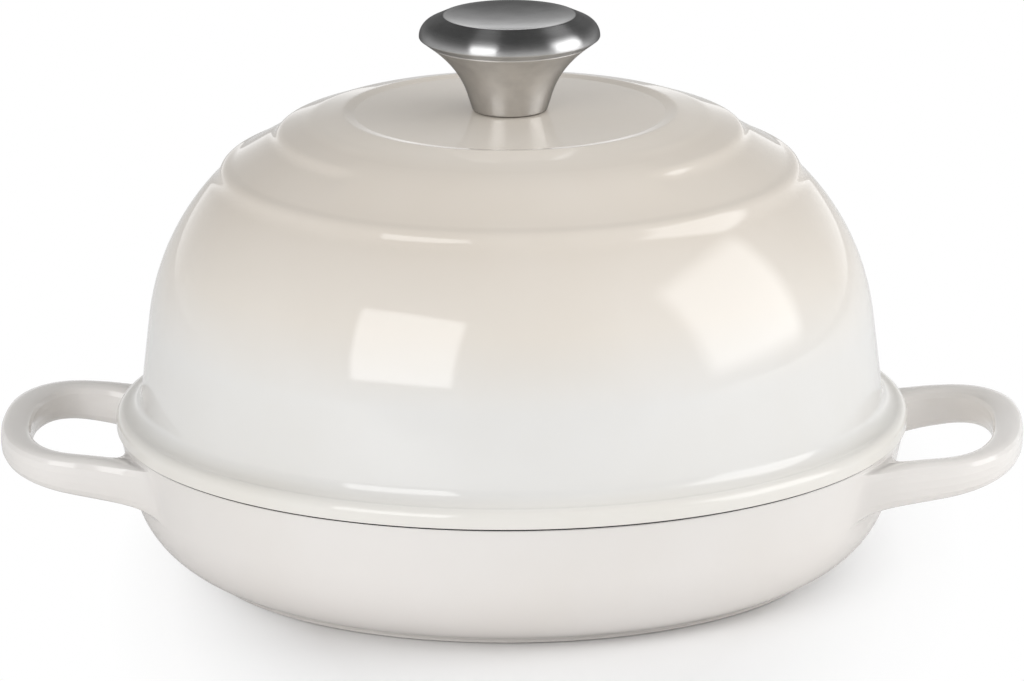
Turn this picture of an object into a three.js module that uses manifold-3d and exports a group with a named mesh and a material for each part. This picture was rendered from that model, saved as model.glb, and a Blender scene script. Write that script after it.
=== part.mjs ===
// Bread cloche: a shallow round baking dish of enamelled cast iron with two loop handles, and a
// domed lid of the same iron that stands on its rim and is lifted by a stainless steel knob.
//
// Millimetres, +Z up. The origin is the middle of the flat underside that the dish stands on. The
// handles lie along X, and the front of the lid faces -Y.

import * as THREE from 'three';
import { mergeVertices } from 'three/addons/utils/BufferGeometryUtils.js';
import Module from 'manifold-3d';

const wasm = await Module();
wasm.setup();

const degrees = Math.PI / 180;

// How finely curves are cut into facets
const facetDepth = 0.18; // most that a facet lies inside its true curve
const ironSegments = 64; // sides of the dish and the lid
const knobSegments = 40; // sides of the knob
const screwSegments = 24; // sides of the small turned pieces

// Clearances
const seatGap = 0.3; // between two pieces that rest on each other
const fitGap = 0.3; // all round a piece that sits in a socket or a bore

// Dish
const dishRimRadius = 126;
const dishHeight = 44.1;
const dishWall = 4.5;
const dishFloor = 5;
const dishLean = 15.5 * degrees; // of the wall, outwards from upright
const dishCornerRound = 31; // outside curve from the underside to the wall
const dishFootEdge = 1.3; // upright edge round the underside, which is flat
const dishRimRound = 1.2;
const ridgeCount = 4; // low rings on the floor that hold the loaf clear of it
const ridgeFirstRadius = 18;
const ridgePitch = 18;
const ridgeWidth = 6;
const ridgeHeight = 1.2;

// Loop handles, cast in one with the dish
const loopStraight = 10; // of the arms, from the rim of the dish to the round end
const loopReach = 28; // of the round end
const loopHalfWidth = 49.5;
const loopArm = 11; // thickness of the arms, seen from above
const loopEnd = 9.8; // thickness of the round end, seen from above
const loopSquareness = 2.4; // 2 would make the end elliptical
const loopEdgeRound = 4;
const loopTopDrop = 0.6; // of the upper face under the rim of the dish, where it passes the rim
const loopTopRise = 4 * degrees;
const loopDepth = 13.8; // from the upper to the lower face, at the same place
const loopBottomRise = 10.4 * degrees;
const loopInnerRound = 11; // hollow corners where the arms meet the dish, inside the loop
const loopOuterRound = 16; // and outside it
const loopSteps = 18; // facets round the end of a loop
const loopEdgeSteps = 3; // facets across each rounded edge

// Lid, heights measured from its seat on the dish
const lidWall = 4;
const flangeOverhang = 0.8; // over the rim of the dish
const flangeWidth = 7.5; // from its edge to the outside of the wall
const flangeThickness = 6;
const flangeTopRound = 3;
const flangeBottomRound = 1;
const flangeRootRound = 5; // hollow corner between the flange and the wall
const lidLean = 6.6 * degrees; // of the wall, inwards from upright
const lidWallHeight = 35.6; // from the seat to where the wall turns into the dome
const domeRound = 75.6;
const lipHeight = 3; // ring under the flange that drops into the dish
const lipGap = 1.2; // between that ring and the wall of the dish
const lipRound = 0.8;

// Stepped crown of the lid
const outerStepRadius = 93.2;
const outerStepRise = 3.1;
const outerStepRun = 1.5;
const innerStepRadius = 75.6;
const innerStepRise = 2.6;
const innerStepRun = 1.9;
const stepRound = 4.5; // upper edge of a step
const stepRootRound = 1; // hollow corner at its foot
const crestRadius = 53.3; // rim round the sunk disc in the middle
const crestDrop = 0.2; // of the rim under the crown of the dome
const crestRound = 4;
const crestWidth = 4.3; // from the top of the rim to the edge of the disc
const discDrop = 0.9; // of the edge of the disc under the crown of the dome
const discEdgeRound = 1;
const knobSeatMargin = 2; // of the flat place round the foot of the knob
const plainSector = 42 * degrees; // the inner step is missing this far to each side of the front
const plainFade = 6 * degrees; // and comes in over this angle

// Knob, heights measured from its seat on the lid
const knobFootRadius = 11.9;
const knobFootRound = 0.8;
const knobNeckHeight = 5.6; // where the straight foot turns into the flare
const knobNeckLean = 17.5 * degrees; // of the foot, outwards from upright
const knobUnderSlope = 37 * degrees; // of the underside of the cap, up from level
const knobRadius = 28.95;
const knobLipWidth = 2.8; // from the widest place in to where the cap meets the stem
const knobEdgeHeight = 25.3; // of the widest place
const knobEdgeRound = 2.75;
const knobTopSlope = 28.5 * degrees; // of the upper side of the cap, up from level
const knobShoulderWidth = 7.55; // from the widest place in to the hollow in the top of the cap
const knobDishDepth = 2.3;
const knobDishEdgeRound = 1.5;
const knobSocketDepth = 2.2; // of the recess in the cap that takes the stem

// Fixing of the knob, from inside the lid
const screwRadius = 3;
const screwReach = 9; // above the seat of the knob
const screwHeadRadius = 6;
const screwHeadHeight = 3.2;
const screwHeadRound = 1.6;
const screwSlotWidth = 1.4; // of each arm of the cross in the head
const screwSlotLength = 6;
const screwSlotDepth = 1.8;
const screwHoleGap = 0.6; // all round the screw in the lid
const washerRadius = 8;
const washerThickness = 1.2;
const insertRadius = 5.5;
const insertLength = 12;

// Curves in a plane

const point = (x, y) => new THREE.Vector2(x, y);

function arcSteps(radius, sweep) {
  const facetAngle = 2 * Math.acos(1 - facetDepth / Math.max(radius, 2 * facetDepth));
  return Math.max(1, Math.ceil(Math.abs(sweep) / facetAngle));
}

function arc(centre, radius, from, to) {
  const steps = arcSteps(radius, to - from);
  return Array.from({ length: steps + 1 }, (_, i) => {
    const angle = from + ((to - from) * i) / steps;
    return point(centre.x + radius * Math.cos(angle), centre.y + radius * Math.sin(angle));
  });
}

// The corner between the lines to the points before and after it, as an arc that touches both.
function roundCorner(before, corner, after, radius) {
  const back = before.clone().sub(corner);
  const ahead = after.clone().sub(corner);
  const half = Math.acos(back.dot(ahead) / (back.length() * ahead.length())) / 2;
  const reach = radius / Math.tan(half);
  const start = corner.clone().addScaledVector(back.normalize(), reach);
  const end = corner.clone().addScaledVector(ahead.normalize(), reach);
  const towards = back.clone().add(ahead).normalize();
  const centre = corner.clone().addScaledVector(towards, radius / Math.sin(half));
  const from = start.clone().sub(centre).angle();
  let sweep = end.clone().sub(centre).angle() - from;
  sweep -= 2 * Math.PI * Math.round(sweep / (2 * Math.PI));
  return arc(centre, radius, from, from + sweep);
}

// A line through the given corners, each of which is [x, y] or [x, y, radius of its rounding].
function roundedLine(corners) {
  const points = corners.map(([x, y]) => point(x, y));
  return corners.flatMap(([, , radius], i) =>
    radius ? roundCorner(points[i - 1], points[i], points[i + 1], radius) : [points[i]],
  );
}

// Solids

function revolve(profile, segments) {
  return new THREE.LatheGeometry(profile, segments).rotateX(Math.PI / 2);
}

function toSolid(geometry) {
  const bare = geometry.clone();
  bare.deleteAttribute('normal');
  bare.deleteAttribute('uv');
  const merged = mergeVertices(bare, 1e-4);
  const corners = Array.from(merged.index.array);
  const isFlat = (i) => new Set(corners.slice(i, i + 3)).size < 3;
  const triVerts = corners.filter((_, i) => !isFlat(i - (i % 3)));
  return new wasm.Manifold(
    new wasm.Mesh({
      numProp: 3,
      vertProperties: new Float32Array(merged.attributes.position.array),
      triVerts: new Uint32Array(triVerts),
    }),
  );
}

function toGeometry(solid) {
  const { vertProperties, triVerts } = solid.getMesh();
  const geometry = new THREE.BufferGeometry();
  geometry.setAttribute('position', new THREE.BufferAttribute(vertProperties, 3));
  geometry.setIndex(new THREE.BufferAttribute(triVerts, 1));
  geometry.computeVertexNormals();
  return geometry;
}

// Dish

const dishOuterRadiusAt = (height) => dishRimRadius - (dishHeight - height) * Math.tan(dishLean);
const dishInnerRadiusAt = (height) => dishOuterRadiusAt(height) - dishWall / Math.cos(dishLean);

// Middle of the outside curve, which touches the wall and the plane of the underside. The foot cuts
// it off where it is as high as the edge of the foot.
const dishCorner = point(
  dishOuterRadiusAt(dishCornerRound) - dishCornerRound / Math.cos(dishLean),
  dishCornerRound,
);
const dishFootAngle = -Math.asin(1 - dishFootEdge / dishCornerRound);

function dishOutside() {
  const corner = arc(dishCorner, dishCornerRound, dishFootAngle, -dishLean);
  const rim = roundCorner(
    corner.at(-1),
    point(dishRimRadius, dishHeight),
    point(0, dishHeight),
    dishRimRound,
  );
  const foot = point(corner[0].x, 0);
  return revolve([point(0, 0), foot, ...corner, ...rim, point(0, dishHeight)], ironSegments);
}

function dishHollow() {
  const ridges = Array.from({ length: ridgeCount }, (_, i) => {
    const middle = ridgeFirstRadius + i * ridgePitch;
    return [
      [middle - ridgeWidth / 2, dishFloor],
      [middle, dishFloor + ridgeHeight],
      [middle + ridgeWidth / 2, dishFloor],
    ];
  }).flat();
  const above = dishHeight + dishWall;
  return revolve(
    roundedLine([
      [0, dishFloor],
      ...ridges,
      [dishInnerRadiusAt(dishFloor), dishFloor, dishCornerRound - dishWall],
      [dishInnerRadiusAt(above), above],
      [0, above],
    ]),
    ironSegments,
  );
}

const loopTop = dishHeight - loopTopDrop;
const loopCentre = dishRimRadius + loopStraight;

// One loop, seen from above and reaching out along +X, as an outline with a hole.
function loopOutline() {
  const dishRadius = dishOuterRadiusAt(loopTop - loopDepth / 2);
  const innerHalf = loopHalfWidth - loopArm;
  // The arms start inside the dish, where its hollow cuts them off.
  const wallX = Math.sqrt(dishInnerRadiusAt(dishHeight) ** 2 - loopHalfWidth ** 2);
  const rootX = wallX - dishWall - 2 * loopEdgeRound;

  const power = 2 / loopSquareness;
  const roundEnd = (reach, halfWidth) =>
    Array.from({ length: loopSteps + 1 }, (_, i) => {
      const angle = -Math.PI / 2 + (Math.PI * i) / loopSteps;
      const out = reach * Math.abs(Math.cos(angle)) ** power;
      const across = halfWidth * Math.abs(Math.sin(angle)) ** power;
      return point(loopCentre + out, Math.sign(angle) * across);
    });
  const mirrored = (points) => points.map(({ x, y }) => point(x, -y)).reverse();

  // A hollow corner touches the straight edge of an arm and the round wall of the dish.
  const hollowCorner = (edge, radius, side) => {
    const y = edge + side * radius;
    const centre = point(Math.sqrt((dishRadius + radius) ** 2 - y ** 2), y);
    return arc(centre, radius, (-side * Math.PI) / 2, side * (centre.angle() * side - Math.PI));
  };

  const outerCorner = hollowCorner(loopHalfWidth, loopOuterRound, 1);
  const outerRoot = point(rootX, outerCorner.at(-1).y);
  const outerArm = [...outerCorner, outerRoot];
  const outline = new THREE.Shape([
    ...mirrored(outerArm),
    ...roundEnd(loopReach, loopHalfWidth),
    ...outerArm,
  ]);

  const innerCorner = hollowCorner(innerHalf, loopInnerRound, -1);
  const buried = innerCorner.at(-1).clone().multiplyScalar(1 - dishWall / dishRadius);
  const innerArm = [...innerCorner, buried];
  outline.holes.push(
    new THREE.Path([...mirrored(innerArm), ...roundEnd(loopReach - loopEnd, innerHalf), ...innerArm]),
  );
  return outline;
}

function loopHandle() {
  const heightAt = (x, atRim, rise) => atRim + (x - dishRimRadius) * Math.tan(rise);
  const blank = 1; // depth of the straight band before the heights are set
  const geometry = new THREE.ExtrudeGeometry(loopOutline(), {
    depth: blank,
    bevelThickness: loopEdgeRound,
    bevelSize: loopEdgeRound,
    bevelOffset: -loopEdgeRound,
    bevelSegments: loopEdgeSteps,
  });
  // The edges keep their rounding, and the band between them fills the height at each place.
  const position = geometry.attributes.position;
  for (let i = 0; i < position.count; i++) {
    const x = position.getX(i);
    const z = position.getZ(i);
    const low = heightAt(x, loopTop - loopDepth, loopBottomRise) + loopEdgeRound;
    const high = heightAt(x, loopTop, loopTopRise) - loopEdgeRound;
    position.setZ(i, z <= 0 ? low + z : high + z - blank);
  }
  return geometry;
}

function dishGeometry() {
  const right = toSolid(loopHandle());
  const left = toSolid(loopHandle().rotateZ(Math.PI));
  const body = toSolid(dishOutside()).add(right).add(left);
  return toGeometry(body.subtract(toSolid(dishHollow())));
}

// Lid

const flangeRadius = dishRimRadius + flangeOverhang;
const lidFootRadius = flangeRadius - flangeWidth;
const wallTopRadius = lidFootRadius - (lidWallHeight - flangeThickness) * Math.tan(lidLean);
const domeCentre = point(
  wallTopRadius - domeRound * Math.cos(lidLean),
  lidWallHeight - domeRound * Math.sin(lidLean),
);
const crown = domeCentre.y + domeRound;
const domeHeightAt = (radius) =>
  domeCentre.y + Math.sqrt(domeRound ** 2 - Math.max(0, radius - domeCentre.x) ** 2);
const domeAngleAt = (radius) => Math.acos((radius - domeCentre.x) / domeRound);

const lipRadius = dishInnerRadiusAt(dishHeight - lipHeight) - lipGap;
const screwHoleRadius = screwRadius + screwHoleGap;

// The crown rises in two steps to a rim round the sunk disc. Each step stands proud of the dome at
// its outer edge and runs out into it further in.
const outerEdge = point(
  outerStepRadius - outerStepRun,
  domeHeightAt(outerStepRadius) + outerStepRise,
);
const innerEdge = point(
  innerStepRadius - innerStepRun,
  domeHeightAt(innerStepRadius) + innerStepRise,
);
const crest = point(crestRadius, crown - crestDrop);

function crownLine() {
  return roundedLine([
    [outerStepRadius, domeHeightAt(outerStepRadius)],
    [outerEdge.x, outerEdge.y, stepRound],
    [innerStepRadius, domeHeightAt(innerStepRadius), stepRootRound],
    [innerEdge.x, innerEdge.y, stepRound],
    [crest.x, crest.y, crestRound],
    [crestRadius - crestWidth, crown - discDrop, discEdgeRound],
    [knobFootRadius + knobSeatMargin, crown],
    [screwHoleRadius, crown],
  ]);
}

// Height of the surface at the front, where the inner step is missing: as far above the dome as the
// outer edge on one side and the crest on the other.
function plainHeightAt(radius) {
  const outerProud = outerEdge.y - domeHeightAt(outerEdge.x);
  const crestProud = crest.y - domeHeightAt(crest.x);
  const inward = (outerEdge.x - radius) / (outerEdge.x - crest.x);
  return domeHeightAt(radius) + THREE.MathUtils.lerp(outerProud, crestProud, inward);
}

function lidGeometry() {
  const ceiling = crown - lidWall;
  const insideWallAt = (height) =>
    domeCentre.x + (domeRound - lidWall) / Math.cos(lidLean) - (height - domeCentre.y) * Math.tan(lidLean);
  const outside = roundedLine([
    [insideWallAt(-lipHeight), -lipHeight],
    [lipRadius, -lipHeight, lipRound],
    [lipRadius, 0],
    [flangeRadius, 0, flangeBottomRound],
    [flangeRadius, flangeThickness, flangeTopRound],
    [lidFootRadius, flangeThickness, flangeRootRound],
    [wallTopRadius, lidWallHeight],
  ]);
  const dome = arc(domeCentre, domeRound, lidLean, domeAngleAt(outerStepRadius));
  const steps = crownLine();
  const inside = [
    point(screwHoleRadius, ceiling),
    ...arc(domeCentre, domeRound - lidWall, Math.PI / 2, lidLean),
    outside[0],
  ];
  const profile = [...outside, ...dome.slice(1), ...steps.slice(1), ...inside];
  const geometry = revolve(profile, ironSegments);

  // Fill the hollow at the foot of the inner step round the front.
  const position = geometry.attributes.position;
  for (let i = 0; i < position.count; i++) {
    const { x: radius, y: height } = profile[i % profile.length];
    const x = position.getX(i);
    const y = position.getY(i);
    const fromFront = Math.abs(Math.atan2(x, -y));
    const share = 1 - THREE.MathUtils.smoothstep(fromFront, plainSector, plainSector + plainFade);
    const onCrown = radius < outerEdge.x && radius > crest.x && height > ceiling;
    if (onCrown) {
      const filled = Math.max(height, plainHeightAt(radius));
      position.setZ(i, THREE.MathUtils.lerp(height, filled, share));
    }
  }
  return geometry;
}

// Knob

const knobSeamRadius = knobRadius - knobLipWidth;
const knobDishRadius = knobRadius - knobShoulderWidth;
const capEdge = point(knobRadius - knobEdgeRound, knobEdgeHeight);
const capUnderAngle = knobUnderSlope - Math.PI / 2;
const capTopAngle = Math.PI / 2 - knobTopSlope;
const capUnder = arc(capEdge, knobEdgeRound, capUnderAngle, capTopAngle);
const seamHeight = capUnder[0].y - (capUnder[0].x - knobSeamRadius) * Math.tan(knobUnderSlope);
const socketTop = seamHeight + knobSocketDepth;

function capGeometry() {
  const shoulder = capUnder.at(-1);
  const rim = point(
    knobDishRadius,
    shoulder.y + (shoulder.x - knobDishRadius) * Math.tan(knobTopSlope),
  );
  const bowlRadius = (knobDishRadius ** 2 + knobDishDepth ** 2) / (2 * knobDishDepth);
  const bowlAngle = Math.asin(knobDishRadius / bowlRadius);
  const bowlCentre = point(0, rim.y - knobDishDepth + bowlRadius);
  const bowl = arc(bowlCentre, bowlRadius, bowlAngle - Math.PI / 2, -Math.PI / 2);
  const rimEdge = roundCorner(shoulder, rim, bowl[1], knobDishEdgeRound);
  return revolve(
    [
      point(0, socketTop),
      point(knobSeamRadius, socketTop),
      point(knobSeamRadius, seamHeight),
      ...capUnder,
      ...rimEdge,
      ...bowl.slice(1),
    ],
    knobSegments,
  );
}

function stemGeometry() {
  const foot = seatGap;
  const top = socketTop - fitGap;
  const stemRadius = knobSeamRadius - fitGap;
  const rimHeight = seamHeight - fitGap * Math.tan(knobUnderSlope);
  const neck = point(
    knobFootRadius + (knobNeckHeight - foot) * Math.tan(knobNeckLean),
    knobNeckHeight,
  );
  // The flare leaves the foot along its side and arrives along the underside of the cap.
  const neckSlope = 1 / Math.tan(knobNeckLean);
  const rimSlope = Math.tan(knobUnderSlope);
  const bendX =
    (rimHeight - neck.y + neckSlope * neck.x - rimSlope * stemRadius) / (neckSlope - rimSlope);
  const bend = point(bendX, neck.y + (bendX - neck.x) * neckSlope);
  const flare = new THREE.QuadraticBezierCurve(neck, bend, point(stemRadius, rimHeight));
  const flareSteps = 8;
  const boreRadius = insertRadius + fitGap;
  const boreTop = foot + insertLength + fitGap;
  return revolve(
    [
      point(0, boreTop),
      point(boreRadius, boreTop),
      point(boreRadius, foot),
      ...roundedLine([
        [boreRadius, foot],
        [knobFootRadius, foot, knobFootRound],
        [neck.x, neck.y],
      ]).slice(1, -1),
      ...flare.getPoints(flareSteps),
      point(stemRadius, top),
      point(0, top),
    ],
    knobSegments,
  );
}

// A ring with square edges.
function ringGeometry(innerRadius, outerRadius, bottom, top) {
  return revolve(
    [
      point(innerRadius, bottom),
      point(outerRadius, bottom),
      point(outerRadius, top),
      point(innerRadius, top),
      point(innerRadius, bottom),
    ],
    screwSegments,
  );
}

const washerTop = -lidWall - seatGap;
const washerBottom = washerTop - washerThickness;

function screwGeometry() {
  const seat = washerBottom - seatGap;
  const headBottom = seat - screwHeadHeight;
  const body = revolve(
    roundedLine([
      [0, headBottom],
      [screwHeadRadius, headBottom, screwHeadRound],
      [screwHeadRadius, seat],
      [screwRadius, seat],
      [screwRadius, screwReach],
      [0, screwReach],
    ]),
    screwSegments,
  );
  // Each arm of the cross is sunk from below, and starts clear of the head.
  const armDepth = 2 * screwSlotDepth;
  const arm = new THREE.BoxGeometry(screwSlotLength, screwSlotWidth, armDepth);
  arm.translate(0, 0, headBottom);
  const cross = toSolid(arm).add(toSolid(arm.clone().rotateZ(Math.PI / 2)));
  return toGeometry(toSolid(body).subtract(cross));
}

// Assembly

function piece(name, geometry, material) {
  const mesh = new THREE.Mesh(geometry, material);
  mesh.name = name;
  return mesh;
}

const enamel = new THREE.MeshStandardMaterial({ color: 0xe8e4dd, roughness: 0.16, metalness: 0 });
const polishedSteel = new THREE.MeshStandardMaterial({ color: 0xc4c3c1, roughness: 0.1, metalness: 1 });
const satinSteel = new THREE.MeshStandardMaterial({ color: 0xbab4aa, roughness: 0.38, metalness: 1 });
const platedSteel = new THREE.MeshStandardMaterial({ color: 0xa9a9a6, roughness: 0.45, metalness: 1 });

const knob = new THREE.Group();
knob.position.z = crown;
knob.add(
  piece('knob_cap', capGeometry(), polishedSteel),
  piece('knob_stem', stemGeometry(), satinSteel),
  piece(
    'knob_insert',
    ringGeometry(screwRadius + fitGap, insertRadius, seatGap, seatGap + insertLength),
    platedSteel,
  ),
  piece('knob_screw', screwGeometry(), platedSteel),
  piece(
    'screw_washer',
    ringGeometry(screwRadius + fitGap, washerRadius, washerBottom, washerTop),
    platedSteel,
  ),
);

const lid = new THREE.Group();
lid.position.z = dishHeight + seatGap;
lid.add(piece('cloche_lid', lidGeometry(), enamel), knob);

const breadCloche = new THREE.Group();
breadCloche.add(piece('base_dish', dishGeometry(), enamel), lid);

export default breadCloche;
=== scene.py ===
"""Looks of a cast iron bread cloche: an enamelled dish with two loop handles, a domed lid that
stands on it, and a steel knob that a screw holds from inside the lid."""
import math

import bmesh
import bpy
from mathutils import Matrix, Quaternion, Vector


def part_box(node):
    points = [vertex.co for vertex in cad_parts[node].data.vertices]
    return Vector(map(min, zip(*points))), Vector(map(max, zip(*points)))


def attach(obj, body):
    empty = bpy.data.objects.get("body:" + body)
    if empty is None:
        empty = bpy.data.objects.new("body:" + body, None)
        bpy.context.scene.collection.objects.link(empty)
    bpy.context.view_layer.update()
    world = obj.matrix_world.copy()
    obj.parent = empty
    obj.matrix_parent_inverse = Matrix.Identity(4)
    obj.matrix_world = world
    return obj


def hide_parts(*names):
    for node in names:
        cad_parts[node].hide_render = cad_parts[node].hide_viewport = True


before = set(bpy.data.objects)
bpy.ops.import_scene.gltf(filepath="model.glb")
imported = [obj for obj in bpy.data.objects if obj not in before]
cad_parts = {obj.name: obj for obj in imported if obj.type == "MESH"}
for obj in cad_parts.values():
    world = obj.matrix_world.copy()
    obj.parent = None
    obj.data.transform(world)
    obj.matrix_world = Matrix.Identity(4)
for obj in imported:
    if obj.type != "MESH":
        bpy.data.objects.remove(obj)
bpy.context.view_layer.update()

MM = 0.001
DEG = math.pi / 180

# Sizes in millimetres. The frame gives the outer ones.
dish_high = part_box("base_dish")[1] / MM
lid_low, lid_high = (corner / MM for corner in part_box("cloche_lid"))

SEAT_GAP = 0.3            # between two pieces that rest on each other
LIP_HEIGHT = 3
LIP_GAP = 1.2             # between the lip and the wall of the dish
SEAT = lid_low.z + LIP_HEIGHT
CROWN = lid_high.z        # flat place under the knob

RIM_RADIUS = dish_high.y + 0.4  # of the corner, before its rounding
RIM_HEIGHT = SEAT - SEAT_GAP
RIM_ROUND = 0.6
DISH_WALL = 4.5
DISH_FLOOR = 5
DISH_LEAN = 12.5 * DEG
DISH_CORNER = 31          # outside curve from the underside to the wall
FOOT_EDGE = 1.3           # upright edge round the underside
RIDGE_RADII = (18, 36, 54, 72)
RIDGE_HALF = 3
RIDGE_HEIGHT = 1.6
RIDGE_ROUND = 2

LOOP_TIP = dish_high.x
LOOP_CENTRE = RIM_RADIUS + 10   # where the straight arms turn into the round end
LOOP_HALF = 49.5
LOOP_ARM = 11
LOOP_END = 9.8
LOOP_SQUARENESS = 2.4           # 2 would make the round end elliptical
LOOP_EDGE_POWER = 3.5           # 2 would make the section of the bar round
LOOP_TOP = RIM_HEIGHT - 0.6     # at the rim
LOOP_TOP_RISE = 4 * DEG
LOOP_BOTTOM = LOOP_TOP - 13.8
LOOP_BOTTOM_RISE = 10.4 * DEG
ARM_START = RIM_RADIUS + 5      # where the arms have left the wall
ROOT_MEETING = 118              # radius to which the arms are followed back into the wall
ROOT_CELLS = 5                  # faces of the wall, each way, that an arm grows from
ROOT_FIRST = 12 * DEG
ROOT_STEP = 3 * DEG
ROOT_BELOW_RIM = 1.7
QUARTER_SEGMENTS = 30           # of the dish, before it is mirrored and subdivided

FLANGE_RADIUS = lid_high.y
FLANGE_HEIGHT = 6
FLANGE_WIDTH = 7.5
FLANGE_TOP_ROUND = 3
FLANGE_ROOT_ROUND = 5
LID_WALL = 4
LID_LEAN = 6.6 * DEG
LID_WALL_TOP = 35.6       # above the seat, where the dome starts
DOME_ROUND = 75.6
OUTER_STEP = 93.8
INNER_STEP = 75.6
CREST = 53.3
DISC = 49.6
PLAIN_SECTOR = 36 * DEG   # each side of the front, without the inner step
PLAIN_FADE = 10 * DEG     # over which the inner step runs out
PLAIN_OUT = 86            # radii between which the front is plain
PLAIN_IN = 61
PLAIN_BULGE = 0.8         # of the front over the line between them

KNOB_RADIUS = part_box("knob_cap")[1].y / MM
KNOB_FOOT = 11.9
SCREW_RADIUS = 3
SCREW_HOLE = SCREW_RADIUS + 0.6
INSERT_RADIUS = 5.5
INSERT_BORE = 12          # depth of its bore in the stem

IRON_SEGMENTS = 240
KNOB_SEGMENTS = 128
WASHER_SEGMENTS = 96
SCREW_SEGMENTS = 64
GUARD = 0.35              # of the narrow faces at the ends of a straight line


# Profiles, drawn in the XZ plane from one point and turned about Z

def start_point(name, place):
    bpy.ops.object.select_all(action="DESELECT")
    bpy.ops.mesh.primitive_plane_add(size=0.01)
    piece = bpy.context.object
    piece.name = name
    piece.data.name = name
    bpy.ops.object.mode_set(mode="EDIT")
    bpy.ops.mesh.select_mode(type="VERT")
    bpy.ops.mesh.select_all(action="SELECT")
    bpy.ops.mesh.merge(type="CENTER")
    bpy.ops.transform.translate(value=(place.x * MM, 0, place.y * MM))
    return piece


def draw_to(start, end):
    step = (end - start) * MM
    bpy.ops.mesh.extrude_region_move(TRANSFORM_OT_translate={"value": (step.x, 0, step.y)})


def draw_line(start, end):
    """A straight line, with a narrow face at each end that keeps the shading of the middle flat."""
    length = (end - start).length
    if length < 1e-6:
        return
    along = (end - start) / length
    stops = [start]
    if length > 6 * GUARD:
        stops += [start + along * GUARD, end - along * GUARD]
    stops.append(end)
    for before, after in zip(stops, stops[1:]):
        draw_to(before, after)


def draw_arc(centre, sweep, steps):
    bpy.ops.mesh.spin(steps=steps, angle=sweep, center=(centre.x * MM, 0, centre.y * MM),
                      axis=(0, 1, 0))


def on_arc(centre, radius, angle):
    return Vector((centre[0] + radius * math.cos(angle), centre[1] + radius * math.sin(angle)))


def rounding(before, corner, after, radius):
    """Start, centre, sweep and end of the arc that touches both lines of a corner."""
    back = (before - corner).normalized()
    ahead = (after - corner).normalized()
    half = back.angle(ahead) / 2
    reach = radius / math.tan(half)
    centre = corner + (back + ahead).normalized() * (radius / math.sin(half))
    turn = -1 if back.x * ahead.y - back.y * ahead.x > 0 else 1
    return corner + back * reach, centre, turn * (math.pi - 2 * half), corner + ahead * reach


def draw_profile(name, stops, arc_step=9 * DEG):
    """Draw a line through stops: (r, z), (r, z, rounding) or (centre, radius, from, to, steps)."""
    def first(stop):
        return on_arc(stop[0], stop[1], stop[2]) if len(stop) == 5 else Vector(stop[:2])

    def last(stop):
        return on_arc(stop[0], stop[1], stop[3]) if len(stop) == 5 else Vector(stop[:2])

    here = first(stops[0])
    piece = start_point(name, here)
    for index, stop in enumerate(stops):
        if len(stop) == 5:
            draw_line(here, first(stop))
            draw_arc(Vector(stop[0]), stop[3] - stop[2], stop[4])
            here = last(stop)
        elif len(stop) == 3:
            begin, centre, sweep, end = rounding(
                last(stops[index - 1]), first(stop), first(stops[index + 1]), stop[2])
            draw_line(here, begin)
            draw_arc(centre, sweep, max(3, math.ceil(abs(sweep) / arc_step)))
            here = end
        else:
            draw_line(here, first(stop))
            here = first(stop)
    return piece


def close_surface():
    bpy.ops.mesh.select_all(action="SELECT")
    bpy.ops.mesh.remove_doubles(threshold=2e-6)
    bpy.ops.mesh.normals_make_consistent(inside=False)


def turn_profile(segments, sweep=2 * math.pi):
    bpy.ops.mesh.select_all(action="SELECT")
    bpy.ops.mesh.spin(steps=segments, angle=sweep, center=(0, 0, 0), axis=(0, 0, -1))
    close_surface()


def finish_piece(piece, body, node, materials):
    """Leave edit mode, shade the piece and tell the frame what it stands for."""
    bpy.ops.object.mode_set(mode="OBJECT")
    bpy.ops.object.shade_smooth_by_angle(angle=40 * DEG)
    for material in materials:
        piece.data.materials.append(material)
    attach(piece, body)
    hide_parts(node)


def select_faces(piece, is_wanted):
    """Select only the faces whose middle, in millimetres, passes the test."""
    bpy.ops.mesh.select_mode(type="FACE")
    bpy.ops.mesh.select_all(action="DESELECT")
    mesh = bmesh.from_edit_mesh(piece.data)
    for face in mesh.faces:
        if is_wanted(face.calc_center_median() / MM):
            face.select_set(True)
    bmesh.update_edit_mesh(piece.data)


def paint_faces(piece, index, is_inside):
    """Give the faces whose middle passes the test the piece's material of that number."""
    bpy.ops.object.mode_set(mode="EDIT")
    select_faces(piece, lambda middle: is_inside(math.hypot(middle.x, middle.y), middle.z))
    piece.active_material_index = index
    bpy.ops.object.material_slot_assign()
    bpy.ops.object.mode_set(mode="OBJECT")


# Dish

def dish_outer(height):
    return RIM_RADIUS - (RIM_HEIGHT - height) * math.tan(DISH_LEAN)


def dish_inner(height):
    return dish_outer(height) - DISH_WALL / math.cos(DISH_LEAN)


dish_corner = (dish_outer(DISH_CORNER) - DISH_CORNER / math.cos(DISH_LEAN), DISH_CORNER)
foot_angle = -math.asin(1 - FOOT_EDGE / DISH_CORNER)
wall_start = on_arc(dish_corner, DISH_CORNER, -DISH_LEAN).y

# The arms of a loop grow out of these faces of the wall.
root_low, root_high = wall_start, RIM_HEIGHT - ROOT_BELOW_RIM
root_last = ROOT_FIRST + ROOT_CELLS * ROOT_STEP


def root_height(row):
    return root_low + (root_high - root_low) * row / ROOT_CELLS


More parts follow.
